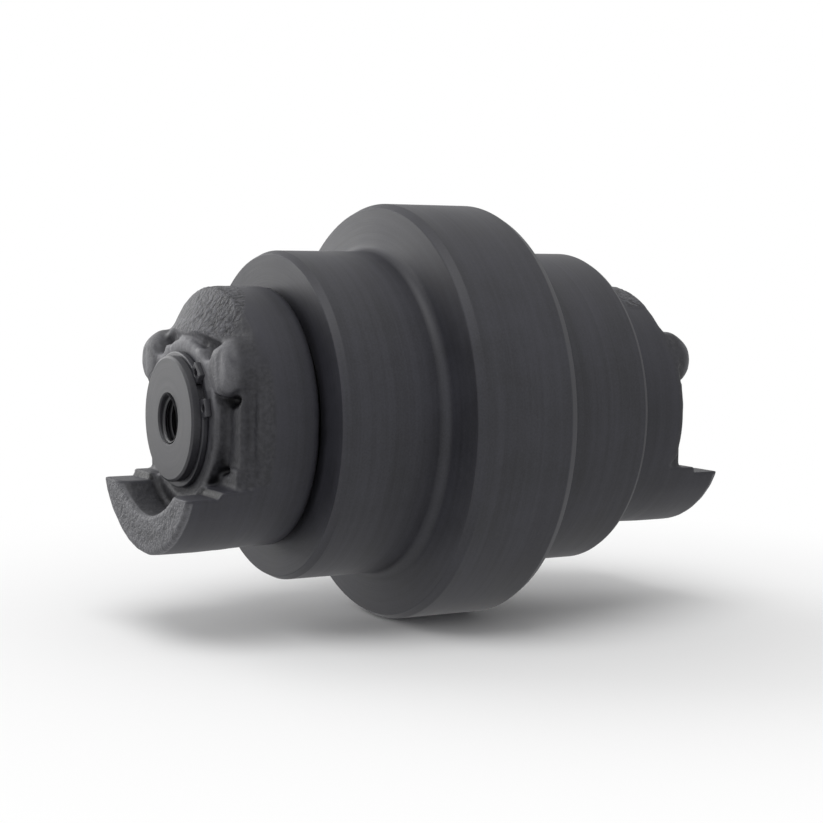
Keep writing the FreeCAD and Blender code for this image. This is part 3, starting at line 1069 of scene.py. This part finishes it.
@dataclass
class Collar:
    """One end collar: a turned bell with a cast crown, pad, knobs and ledge, in millimetres.

    A Span holds where a change starts and where it is complete.
    """

    end: End
    # The bell, its outside and the slope above the pad
    rim: float = 53.2
    rim_round: float = 0.4
    radius: float = 37.8
    face: float = 70.6
    face_round: float = 1.3
    side_round: float = 3.6
    side_lift: float = 0.0
    side_foot: Span = (-17.0, -13.5)
    side_top: Span = (14.0, 26.0)
    relief_start: float = 68.5
    relief_deep: float = 1.8
    relief_back: float = 3.5
    relief_rise: Span = (12.0, 26.0)
    relief_round: float = 1.0
    root_deep: float = 1.6
    trim_edge: float = 0.2
    # The seal housing and the hub inside the bell
    bore_r: float = 18.03
    bore_edge: float = 0.3
    hub_end: float = 44.9
    hub_r: float = 23.6
    floor: float = 60.95
    floor_r: float = 31.9
    floor_round: float = 0.8
    mouth_r: float = 33.6
    mouth_edge: float = 0.35
    # The boss round the shaft
    boss_r: float = 24.4
    boss_draft: float = 0.12
    boss_ease: float = 1.6
    boss_ease_rise: Span = (12.0, 19.0)
    boss_face: float = 78.2
    boss_round: float = 1.1
    # The cast skin behind the crown
    skin_rise: float = 0.1
    skin_start: float = 62.2
    skin_bend: float = 0.013
    skin_half: float = 30.5
    skin_foot: Span = (22.0, 25.0)
    skin_slope: float = 1.8
    skin_border: float = 1.0
    # The crown and the two arches under it
    crown_half: float = 30.0
    crown_foot_r: float = 35.6
    crown_low: float = 12.0
    crown_side_round: float = 1.3
    crown_fillet: float = 0.9
    brow: float = 77.1
    brow_r: float = 27.1
    brow_foot_r: float = 24.5
    brow_foot_round: float = 0.8
    lip: float = 77.9
    lip_round: float = 1.6
    rib_half: float = 1.2
    rib_draft: float = 0.4
    rib_round: float = 1.2
    arch_x: float = 14.0
    arch_z: float = 26.3
    arch_low: float = 9.0
    arch_bend: float = 0.014
    arch_draft: float = 0.9
    arch_floor: float = 75.1
    arch_fall: float = 0.18
    arch_fall_from: float = 8.0
    arch_floor_low: float = 71.6
    arch_fillet: float = 3.2
    arch_edge: float = 0.45
    # The pad and its hollows
    pad_face: float = 74.3
    pad_face_round: float = 1.1
    pad_half: float = 32.2
    pad_top: float = 23.5
    pad_foot: float = -12.7
    pad_round: float = 1.3
    pad_r: float = 36.9
    pad_edge: float = 0.9
    foot_face: float = 75.2
    foot_round: float = 1.5
    foot_overlap: float = 1.0
    pocket: Hollow = Hollow(24.2, 75.4, 7.8, 6.8, 4.8, 3.1, 1.6)
    spot: Hollow = Hollow(20.6, 75.2, -12.9, 4.6, 3.2, 1.1)
    # The webs and the knobs
    web_face: float = 78.2
    web_round: float = 0.8
    web_inner: float = 10.0
    web_foot: float = 8.55
    web_fillet: float = 0.6
    dip: Corners = ((13.05, 20.0), (17.0, 17.6), (21.67, 20.5))
    dip_edge: float = 0.5
    knob_x: float = 26.17
    knob_z: float = 15.48
    knob_r: float = 7.0
    knob_root_r: float = 8.6
    knob_face: float = 78.5
    knob_round: float = 3.2
    # The ledge and its channel
    ledge_end: float = 90.1
    ledge_rise: float = 0.7
    ledge_rise_out: Span = (57.0, 80.0)
    ledge_rise_down: Span = (17.0, 26.0)
    ledge_step: float = 80.4
    ledge_slope: float = 0.6
    ledge_z: float = -17.75
    ledge_outer_z: float = -19.6
    ledge_round: float = 1.6
    ledge_edge: float = 0.45
    ledge_overlap: float = 1.4
    channel_r: float = 27.3
    channel_start: float = 78.4
    channel_round: float = 1.6
    channel_lip: float = 1.2
    channel_corner: float = 3.4
    corner_rise: Span = (-27.0, -20.0)
    corner_run: Span = (83.0, 86.0)
    # The fillets between the shapes, and the waves of the raw skin as height, length and seed
    fillet: float = 1.6
    face_fillet: float = 1.2
    face_fillet_gain: float = 1.6
    face_fillet_rise: Span = (15.0, 20.0)
    waves: tuple[tuple[float, float, int], ...] = ((0.09, 4.3, 11), (0.08, 2.1, 12), (0.10, 1.4, 13))
    fine_waves_rise: Span = (24.0, 26.0)
    # Where the raw skin shows, and where the painted highlight and painted shade fall
    side_skin: float = 65.4
    side_soft: float = 1.8
    raw_foot: Span = (-17.0, -15.5)
    raw_top: Span = (14.0, 22.0)
    raw_shoulder: Span = (68.0, 70.0)
    raw_face: Span = (66.0, 67.5)
    raw_rim: Span = (1.4, 0.7)
    raw_tip: Span = (2.4, 1.2)
    raw_boss: Span = (19.0, 20.5)
    flat_near: Span = (0.5, 1.1)
    flat_start: Span = (75.0, 76.0)
    step_soft: float = 0.3
    step_edge: Span = (-0.2, 0.1)
    # Darkens the unmachined step between the ledge's tops, towards the dark tint
    step_darkening: float = 0.4
    # Painted highlight on outer edges: where it starts along the shaft, how it grows upwards from a low
    # share, and where it starts at the ledge's tip; the reaches also measure the painted shade, and the
    # lift adds highlight wherever it reaches
    highlight_from: Span = (73.0, 77.0)
    highlight_rise: Span = (0.0, 14.0)
    highlight_low: float = 0.3
    highlight_tip: Span = (88.0, 89.0)
    shade_and_highlight_reach: tuple[float, ...] = (1.2, 3.0, 6.0)
    highlight_lift: float = 0.15
    crown_foot: Span = (23.5, 25.5)
    crown_sides: Span = (20.5, 23.0)
    tip_share: float = 0.7
    tip_grain: Span = (1.5, 0.6)
    # The grid that the surface is read from
    step: float = 0.5
    long_step: float = 1.2
    fine_lead: float = 0.7
    margin_out: float = 1.2
    margin_across: float = 1.3

    @property
    def root(self) -> float:
        """Where the raised shapes start, inside the bell."""
        return self.face - self.root_deep

    def relief(self, at: Spots) -> np.ndarray:
        """Form the slope above the pad, from the bell's outside to its face.

        Args:
            at: the sample points.

        Returns:
            The distance beyond it.
        """
        run = self.face - self.relief_start
        start = self.relief_start + self.relief_back * (1.0 - smooth_step(at.z, *self.relief_rise))
        beyond = (at.out - start) * self.relief_deep + (at.r - self.radius) * run
        return beyond / math.hypot(run, self.relief_deep)

    def skin(self, at: Spots, soft: float) -> np.ndarray:
        """Mark the cast skin behind the crown.

        Args:
            at: the sample points.
            soft: how wide its border is.

        Returns:
            1 on the skin and 0 on the turned bell.
        """
        start = self.skin_start + self.skin_bend * at.x * at.x
        skin = smooth_step(at.out - start, 0.0, soft) * smooth_step(at.z, *self.skin_foot)
        beside = smooth_step(at.side, self.skin_half - 0.5 * soft, self.skin_half + 0.5 * soft)
        return skin * (1.0 - beside)

    def outside(self, at: Spots) -> np.ndarray:
        """Work out the collar's radius, a little more on the cast skin and along the ledge.

        Args:
            at: the sample points.

        Returns:
            The radius at each.
        """
        skin = self.skin(at, self.skin_slope)
        ledge = smooth_step(at.out, *self.ledge_rise_out) * smooth_step(-at.z, *self.ledge_rise_down)
        return self.radius + self.skin_rise * skin + self.ledge_rise * ledge

    def bell(self, at: Spots) -> np.ndarray:
        """Form the bell, with the cast skin that stands proud of it behind the crown.

        Args:
            at: the sample points.

        Returns:
            The distance from it.
        """
        beside = smooth_step(at.z, *self.side_foot) * (1.0 - smooth_step(at.z, *self.side_top))
        edge = self.face_round + (self.side_round - self.face_round) * beside
        bell = trimmed(at.r - self.outside(at), at.out - self.face - self.side_lift * beside, edge)
        bell = trimmed(bell, self.rim - at.out, self.rim_round)
        return trimmed(bell, self.relief(at), self.relief_round)

    def boss(self, at: Spots) -> np.ndarray:
        """Form the boss round the shaft, a little eased below the arches.

        Args:
            at: the sample points.

        Returns:
            The distance from it.
        """
        radius = self.boss_r - self.boss_ease * smooth_step(at.z, *self.boss_ease_rise)
        side = at.r - radius - (self.boss_face - at.out) * self.boss_draft
        boss = trimmed(side, at.out - self.boss_face, self.boss_round)
        return np.maximum(boss, self.root - at.out)

    def crown(self, at: Spots) -> np.ndarray:
        """Form the brow above the shaft, before its arches.

        Args:
            at: the sample points.

        Returns:
            The distance from it.
        """
        run, fall = self.brow - self.face, self.crown_foot_r - self.brow_r
        slope = (at.out - self.face) * fall + (at.r - self.crown_foot_r) * run
        crown = trimmed(slope / math.hypot(run, fall), at.out - self.lip, self.lip_round)
        crown = trimmed(crown, at.side - self.crown_half, self.crown_side_round)
        crown = trimmed(crown, self.brow_foot_r - at.r, self.brow_foot_round)
        return np.maximum(crown, np.maximum(self.root - at.out, self.crown_low - at.z))

    def arches(self, at: Spots) -> np.ndarray:
        """Form the two drafted arches under the crown, each side of its rib, with soft floors.

        Args:
            at: the sample points.

        Returns:
            The distance from them.
        """
        draft = (self.lip - at.out) * self.arch_draft
        top = self.arch_z - self.arch_bend * (at.side - self.arch_x) ** 2 - draft
        arch = trimmed(at.z - top, self.rib_half + self.rib_draft * draft - at.side, self.rib_round)
        fall = self.arch_fall * np.maximum(at.side - self.arch_fall_from, 0.0)
        floor = np.maximum(self.arch_floor - fall, self.arch_floor_low)
        arch = trimmed(arch, floor - at.out, self.arch_fillet)
        return np.maximum(arch, self.arch_low - at.z)

    def pad(self, at: Spots) -> np.ndarray:
        """Form the pad with the soft hollows below the knobs.

        Args:
            at: the sample points.

        Returns:
            The distance from it.
        """
        pad = trimmed(at.side - self.pad_half, at.z - self.pad_top, self.pad_round)
        pad = trimmed(pad, self.pad_foot - at.z, self.pad_round)
        pad = trimmed(pad, at.r - self.pad_r, self.pad_edge)
        pad = trimmed(pad, at.out - self.pad_face, self.pad_face_round)
        foot = trimmed(at.side - self.pad_half, at.out - self.foot_face, self.foot_round)
        foot_top = at.z - self.pad_foot - self.foot_overlap
        foot = np.maximum(foot, np.maximum(foot_top, self.ledge_z - at.z))
        pad = joined(pad, np.maximum(foot, at.r - self.pad_r), self.pad_edge)
        pad = np.maximum(pad, self.root - at.out)
        for hollow in (self.pocket, self.spot):
            pad = carved(pad, hollow.distance(at), hollow.edge)
        return pad

    def web(self, at: Spots) -> np.ndarray:
        """Form the webs from the boss to the knobs, with the dip in their tops.

        Args:
            at: the sample points.

        Returns:
            The distance from them.
        """
        web = np.maximum(self.web_inner - at.side, at.side - self.knob_x)
        web = np.maximum(web, np.maximum(self.web_foot - at.z, at.z - self.dip[-1][1]))
        dip_x, dip_z, dip_r = circle_through(self.dip)
        web = carved(web, np.hypot(at.side - dip_x, at.z - dip_z) - dip_r, self.dip_edge)
        web = trimmed(web, at.out - self.web_face, self.web_round)
        return np.maximum(web, self.root - at.out)

    def knobs(self, at: Spots) -> np.ndarray:
        """Form the two drafted knobs.

        Args:
            at: the sample points.

        Returns:
            The distance from them.
        """
        draft = (self.knob_root_r - self.knob_r) / (self.knob_face - self.root)
        radius = self.knob_r + (self.knob_face - at.out) * draft
        knob = np.hypot(at.side - self.knob_x, at.z - self.knob_z) - radius
        knob = trimmed(knob, at.out - self.knob_face, self.knob_round)
        return np.maximum(knob, self.root - at.out)

    def ledge(self, at: Spots) -> np.ndarray:
        """Form the stepped ledge with its channel.

        Args:
            at: the sample points.

        Returns:
            The distance from it.
        """
        ledge = trimmed(at.r - self.outside(at), at.out - self.ledge_end, self.ledge_round)
        share = smooth_step(at.out, self.ledge_step - self.ledge_slope, self.ledge_step + self.ledge_slope)
        top = self.ledge_z + (self.ledge_outer_z - self.ledge_z) * share
        channel = trimmed(at.r - self.channel_r, self.channel_start - at.out, self.channel_round)
        corner = smooth_step(at.z, *self.corner_rise) * smooth_step(at.out, *self.corner_run)
        lip = self.channel_lip + (self.channel_corner - self.channel_lip) * corner
        ledge = carved(ledge, channel, lip)
        ledge = trimmed(ledge, at.z - top, self.ledge_edge)
        inner = self.boss_r - self.ledge_overlap - at.r
        return np.maximum(ledge, np.maximum(self.root - at.out, inner))

    def solid(self, at: Spots) -> np.ndarray:
        """Join all the shapes outside the shaft's bore.

        Args:
            at: the sample points.

        Returns:
            The distance from the whole.
        """
        face = joined(self.boss(at), self.web(at), self.web_fillet)
        face = joined(face, self.knobs(at), self.fillet)
        body = joined(self.bell(at), self.pad(at), self.fillet)
        body = joined(body, self.ledge(at), self.fillet)
        body = joined(body, self.crown(at), self.crown_fillet)
        body = carved(body, self.arches(at), self.arch_edge)
        fillet = self.face_fillet + self.face_fillet_gain * smooth_step(at.z, *self.face_fillet_rise)
        body = joined(body, face, fillet)
        return trimmed(body, at.r - self.outside(at), self.trim_edge)

    def form(self, steps: Steps) -> np.ndarray:
        """Form the collar, with its raw skin, its seal housing and its bore.

        Args:
            steps: the block's sample points.

        Returns:
            The distance from the collar's surface.
        """
        at = steps.spots()
        large, small, fine = (height * steps.waves(length, seed) for height, length, seed in self.waves)
        rough = large + small
        rough = rough + fine * smooth_step(at.z, *self.fine_waves_rise)
        body = self.solid(at) + rough * self.cast(at)
        taper = (self.floor_r - self.mouth_r) * (at.out - self.rim) / (self.floor - self.rim)
        wall = self.mouth_r + taper
        housing = np.maximum(self.hub_r - at.r, at.r - wall)
        housing = trimmed(housing, at.out - self.floor, self.floor_round)
        body = carved(body, housing, self.mouth_edge)
        hub = np.maximum(at.r - self.hub_r, np.maximum(at.out - self.root, self.hub_end - at.out))
        body = np.minimum(body, hub)
        return carved(body, at.r - self.bore_r, self.bore_edge)

    def cast(self, at: Spots) -> np.ndarray:
        """Mark the sand-cast skin.

        Args:
            at: the sample points.

        Returns:
            1 where it shows and 0 where the collar is machined.
        """
        start = self.side_skin
        beside = smooth_step(at.out, start, start + self.side_soft) * smooth_step(at.z, *self.raw_foot)
        above = smooth_step(at.z, *self.raw_top)
        shoulder = smooth_step(at.out, *self.raw_shoulder) * above
        outside = np.maximum(beside * (1.0 - above), shoulder)
        outside = np.maximum(outside, self.skin(at, self.skin_border))
        tip = smooth_step(at.out, *(self.ledge_end - back for back in self.raw_tip))
        outside = np.maximum(outside, tip)
        rim = smooth_step(at.r, *(self.radius - inner for inner in self.raw_rim))
        inside = smooth_step(at.out, *self.raw_face) * (1.0 - rim)
        cast = np.maximum(outside, inside) * smooth_step(at.r, *self.raw_boss)
        return cast * (1.0 - self.machined_flat(at))

    def machined_flat(self, at: Spots) -> np.ndarray:
        """Mark the machined tops of the ledge.

        Args:
            at: the sample points.

        Returns:
            1 on them and 0 away from them.
        """
        top = np.where(at.out < self.ledge_step, self.ledge_z, self.ledge_outer_z)
        near = 1.0 - smooth_step(np.abs(at.z - top), *self.flat_near)
        return near * smooth_step(at.out, *self.flat_start) * (1.0 - self.raw_step(at))

    def raw_step(self, at: Spots) -> np.ndarray:
        """Mark the unmachined step between the ledge's tops.

        Args:
            at: the sample points.

        Returns:
            1 on it and 0 away from it.
        """
        middle = 0.5 * (self.ledge_z + self.ledge_outer_z)
        half = 0.5 * (self.ledge_z - self.ledge_outer_z)
        away = np.abs(at.out - self.ledge_step)
        beside = 1.0 - smooth_step(away, self.ledge_slope, self.ledge_slope + self.step_soft)
        within = 1.0 - smooth_step(np.abs(at.z - middle), *(half + more for more in self.step_edge))
        return beside * within

    def proud(self, steps: Steps, form: np.ndarray, skin: Skin) -> np.ndarray:
        """How proud each point of the surface stands: painted shade in hollows, and a painted highlight
        only on the outermost shapes.

        Args:
            steps: the block's sample points.
            form: the distance from the surface over the block.
            skin: the surface.

        Returns:
            0 deep in hollows, 0.5 on open faces and 1 on sharp edges.
        """
        axes = (steps.across, steps.out, steps.up)
        at = Spots(*skin.points.T)
        total = np.zeros(len(skin.points))
        # Painted highlight share: grows upwards on the face, and below the ledge's top only at its tip
        share = self.highlight_low + (1.0 - self.highlight_low) * smooth_step(at.z, *self.highlight_rise)
        face = smooth_step(at.out, *self.highlight_from) * share
        highlight_share = np.where(at.z < self.ledge_z, smooth_step(at.out, *self.highlight_tip), face)
        for reach in self.shade_and_highlight_reach:
            above = Mesher.read(axes, form, skin.points + reach * skin.normals)
            below = Mesher.read(axes, form, skin.points - reach * skin.normals)
            # Painted shade: the less open room above the surface, the lower the value
            total += np.clip(above / reach, 0.0, 1.0) - 1.0
            # Painted highlight: convex edges raise the value, with a constant lift where the highlight
            # share reaches
            total += highlight_share * (np.clip(below / reach, -1.0, 0.0) + 1.0 + self.highlight_lift)
        # The unmachined step is darkened as well
        return 0.5 + total / len(self.shade_and_highlight_reach) - self.step_darkening * self.raw_step(at)

    def grainy(self, at: Spots) -> np.ndarray:
        """Mark where the raw skin is coarse, on the crown and the ledge's tip.

        Args:
            at: the points of the surface.

        Returns:
            1 where it is coarsest and 0 where it is fine.
        """
        crown = smooth_step(at.z, *self.crown_foot) * (1.0 - smooth_step(at.side, *self.crown_sides))
        tip = smooth_step(at.out, *(self.ledge_end - back for back in self.tip_grain))
        return np.maximum(crown, self.tip_share * tip)

    def build(self, material: bpy.types.Material, finish: CastCoat) -> None:
        """Form the collar and show it.

        Args:
            material: its material.
            finish: the finish that the material was made by, which names its masks.
        """
        reach = self.radius + self.ledge_rise + self.margin_across
        across = Steps.line(-reach, reach, self.step)
        fine_from = self.skin_start - self.fine_lead
        coarse = Steps.line(self.hub_end - self.margin_out, fine_from - self.long_step, self.long_step)
        fine = Steps.line(float(coarse[-1]) + self.step, self.ledge_end + self.margin_out, self.step)
        steps = Steps(across, np.concatenate([coarse, fine]), across)
        form = self.form(steps)
        skin = Mesher.skin(steps, form)
        at = Spots(*skin.points.T)
        masks = {
            finish.turned_mask: 1.0 - self.cast(at),
            finish.crown_mask: self.grainy(at),
            finish.shade_and_highlight_mask: self.proud(steps, form, skin),
        }
        mesh = skin.at(self.end, self.end.label + "_collar_casting")
        for mask, values in masks.items():
            mesh.attributes.new(mask, "FLOAT", "POINT").data.foreach_set("value", values)
        Mesher.show(mesh, material, "mounting", "cast_collar", self.end.label + "_collar")


@dataclass
class Viewpoint:
    """The camera at the photograph's place, in degrees, pixels and millimetres, its clips in metres."""

    azimuth: float = 60.61
    elevation: float = 4.64
    roll: float = 0.61
    distance: float = 577.6
    across: float = -2.64
    up: float = -0.43
    focal_pixels: float = 1885.8
    frame_pixels: float = 823.0
    sensor: float = 36.0
    clip_start: float = 0.01
    clip_end: float = 20.0

    def build(self) -> None:
        """Place the camera and make it the scene's own."""
        a, e, roll = (math.radians(v) for v in (self.azimuth, self.elevation, self.roll))
        back = Vector((math.sin(a) * math.cos(e), -math.cos(a) * math.cos(e), math.sin(e)))
        level = Vector((math.cos(a), math.sin(a), 0.0))
        upright = back.cross(level)
        right = level * math.cos(roll) + upright * math.sin(roll)
        top = upright * math.cos(roll) - level * math.sin(roll)
        place = (back * self.distance + right * self.across + top * self.up) * MM
        camera = bpy.data.objects.new("camera", bpy.data.cameras.new("camera"))
        camera.data.sensor_width = self.sensor
        camera.data.lens = self.focal_pixels / self.frame_pixels * self.sensor
        camera.data.clip_start = self.clip_start
        camera.data.clip_end = self.clip_end
        camera.matrix_world = Matrix((right, top, back)).transposed().to_4x4()
        camera.location = place
        bpy.context.scene.collection.objects.link(camera)
        bpy.context.scene.camera = camera


@dataclass(frozen=True)
class Softbox:
    """A round soft lamp that faces the part, in metres and watts."""

    name: str
    place: Vector
    size: float
    watts: float

    def build(self) -> None:
        """Hang the lamp."""
        lamp = bpy.data.lights.new(self.name, "AREA")
        lamp.shape = "DISK"
        lamp.size = self.size
        lamp.energy = self.watts
        held = bpy.data.objects.new(self.name, lamp)
        held.location = self.place
        held.rotation_euler = (-self.place).to_track_quat("-Z", "Y").to_euler()
        bpy.context.scene.collection.objects.link(held)


@dataclass
class Studio:
    """A pale floor under a white surround, with soft lamps above."""

    floor_z: float = -62.5
    floor_half: float = 6000.0
    light: float = 0.55
    mirrored: float = 0.7
    whitens: Span = (0.09, 0.26)
    paint: float = 0.93
    left: Softbox = Softbox("left_softbox", Vector((-1.15, -0.58, 0.36)), 1.3, 10.4)
    top: Softbox = Softbox("top_softbox", Vector((0.30, -0.35, 1.20)), 1.0, 7.0)

    def build(self) -> None:
        """Make the floor, the surround and the lamps."""
        self.surround()
        self.floor()
        self.left.build()
        self.top.build()

    def surround(self) -> None:
        """White to the camera and to reflections, softer as a light."""
        world = bpy.data.worlds.new("surround")
        bpy.context.scene.world = world
        shader = Shader(world)
        path = shader.add("LightPath")
        camera = shader.wire(path, "Is Camera Ray")
        glossy = shader.wire(path, "Is Glossy Ray")
        through = shader.wire(path, "Is Transmission Ray")
        seen = camera.math("MAXIMUM", camera, glossy.math("MAXIMUM", glossy, through))
        white = (1.0, 1.0, 1.0, 1.0)
        lit = shader.wire(shader.add("Background", None, {"Color": white, "Strength": self.light}))
        shown = shader.wire(shader.add("Background", None, {"Color": white, "Strength": 1.0}))
        either = shader.wire(shader.add("MixShader", None, {0: seen, 1: lit, 2: shown}))
        shader.add("OutputWorld", None, {"Surface": either})

    def floor(self) -> None:
        """A wide pale floor that turns white away from the part."""
        shader = Shader.material("pale_floor")
        place = shader.place()
        radius = (place.x * place.x + place.y * place.y) ** 0.5
        path = shader.add("LightPath")
        camera, glossy = shader.wire(path, "Is Camera Ray"), shader.wire(path, "Is Glossy Ray")
        away = shader.ramp(radius, *self.whitens)
        whiter = camera.math("MAXIMUM", camera * away, glossy * self.mirrored)
        paint = (self.paint, self.paint, self.paint, 1.0)
        matt = shader.wire(shader.add("BsdfDiffuse", None, {"Color": paint}))
        white = shader.wire(shader.add("Emission", None, {"Strength": 1.0}))
        either = shader.wire(shader.add("MixShader", None, {0: whiter, 1: matt, 2: white}))
        shader.add("OutputMaterial", None, {"Surface": either})
        half = self.floor_half
        corners = [(-half, -half, self.floor_z), (half, -half, self.floor_z),
                   (half, half, self.floor_z), (-half, half, self.floor_z)]
        mesh = Mesher.mesh("floor", np.array(corners), [[0, 1, 2, 3]])
        mesh.materials.append(shader.owner)
        floor = bpy.data.objects.new("floor", mesh)
        bpy.context.scene.collection.objects.link(floor)


@dataclass
class HiddenPieces:
    """The bushes, seals and plug, which keep their CAD shapes and get their finishes."""

    nodes: dict[str, bpy.types.Object]

    def dress(self) -> None:
        """Give each kept node its material."""
        bronze = BareMetal("turned_bronze", (0.42, 0.25, 0.10), (0.60, 0.38, 0.17)).make()
        iron = BareMetal("lapped_iron", (0.11, 0.11, 0.115), (0.19, 0.19, 0.195), 0.36).make()
        plug = BareMetal("blackened_plug", (0.05, 0.05, 0.055), (0.10, 0.10, 0.105), 0.4).make()
        rubber = Rubber("seal_rubber").make()
        finishes = {"bush": bronze, "seal_ring": iron, "rubber": rubber, "rubber_ring": rubber,
                    "oil_plug": plug}
        for name, node in self.nodes.items():
            for ending, material in finishes.items():
                if name.endswith(ending):
                    node.data.materials.clear()
                    node.data.materials.append(material)
                    log.info("%s: %s", name, material.name)


def main() -> None:
    """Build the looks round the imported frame."""
    logging.basicConfig(level=logging.INFO, format="%(name)s: %(message)s")
    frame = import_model()
    bpy.context.scene.view_settings.view_transform = "Standard"
    Viewpoint().build()
    Studio().build()
    turned = TurnedCoat("coated_turned_steel")
    bell = TurnedCoat("coated_bell", (0.018, 0.018, 0.022), (0.036, 0.036, 0.045))
    cast = CastCoat("coated_casting", "turned", "crown", "proud", bell)
    cast_finish = cast.make()
    shell_finish = turned.make()
    shaft_finish = TurnedCoat("coated_shaft", (0.014, 0.014, 0.017), (0.040, 0.040, 0.046), 0.48).make()
    thread_finish = TurnedCoat("cut_thread", (0.012, 0.012, 0.014), (0.026, 0.026, 0.030), 0.4).make()
    ring = TurnedCoat("blackened_spring_steel", (0.02, 0.02, 0.024), (0.045, 0.045, 0.052), 0.4)
    ring_finish = ring.make()
    HiddenPieces(frame["nodes"]).dress()
    RollerShell().build(shell_finish)
    Shaft().build(shaft_finish, thread_finish)
    RetainingRing().build(ring_finish)
    Collar(End.NEAR).build(cast_finish, cast)
    far = Collar(End.FAR, skin_rise=0.4, skin_bend=0.0, skin_half=20.4, relief_start=69.6,
                 side_round=1.3, side_lift=1.6, side_skin=69.5)
    far.build(cast_finish, cast)


if __name__ == "__main__":
    main()
